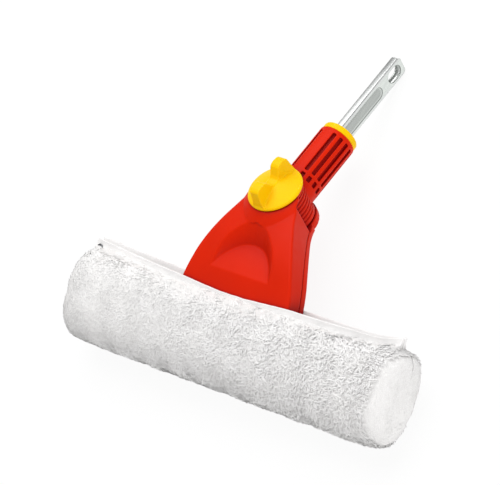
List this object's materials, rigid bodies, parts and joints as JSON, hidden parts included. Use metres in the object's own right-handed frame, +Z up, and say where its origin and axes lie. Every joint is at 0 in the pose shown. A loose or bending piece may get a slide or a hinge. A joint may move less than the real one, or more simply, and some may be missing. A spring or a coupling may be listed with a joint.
{
  "type": "window squeegee",
  "caption": "Window washing head with a fleece sleeve on a cross bar, a clamped swivel joint and a pressed steel tongue for a handle.",
  "frame": {"origin": "middle of the footprint, on the surface that the sleeve and the tongue's tip rest on", "axes": "+X along the cross bar, towards the end without the press stud; +Y towards the handle; +Z up, out of the front"},
  "size_m": [0.3392, 0.3048, 0.0912],
  "materials": {
    "red_plastic": "moulded orange-red plastic, half gloss",
    "yellow_plastic": "moulded yellow plastic, half gloss",
    "zinc_steel": "bright zinc plate, slightly hazy",
    "brass": "turned brass",
    "fleece": "white curly pile",
    "webbing": "white stitched hem",
    "grey_plastic": "plain moulded plastic, hidden",
    "black_plastic": "matt friction disc, hidden"
  },
  "bodies": {
    "head": {"head_body": "red_plastic", "rear_cover": "red_plastic", "carrier_bar": "grey_plastic", "bar_cap_left": "grey_plastic", "bar_cap_right": "grey_plastic", "fleece_sleeve": "fleece", "sleeve_end_left": "fleece", "sleeve_end_right": "fleece", "hem_front": "webbing", "hem_rear": "webbing", "snap_cap": "zinc_steel", "snap_socket": "zinc_steel", "snap_stud": "zinc_steel", "snap_ring": "zinc_steel", "head_screw_left": "zinc_steel", "head_screw_right": "zinc_steel", "head_screw_top": "zinc_steel", "pivot_bolt": "zinc_steel"},
    "handle": {"swivel_socket": "red_plastic", "collar_ring": "yellow_plastic", "steel_tongue": "zinc_steel", "friction_disc_front": "black_plastic", "friction_disc_rear": "black_plastic"},
    "washer": {"thrust_washer": "zinc_steel"},
    "knob": {"wing_knob": "yellow_plastic", "knob_insert": "brass"}
  },
  "joints": [
    {"name": "swivel", "type": "hinge", "parent": "head", "child": "handle", "pos_m": [-0.00485, -0.00103, 0.05188], "axis": [0, 0.28, 0.96], "range_deg": [-60, 60]},
    {"name": "knob_lift", "type": "slide", "parent": "head", "child": "washer", "axis": [0, 0.28, 0.96], "range_m": [0, 0.00126]},
    {"name": "knob_turn", "type": "hinge", "parent": "washer", "child": "knob", "pos_m": [-0.00485, -0.00103, 0.05188], "axis": [0, 0.28, 0.96], "range_deg": [0, 360]}
  ],
  "couplings": [
    {"joint": "knob_lift", "follows": "knob_turn", "m_per_rad": 0.00019894}
  ]
}
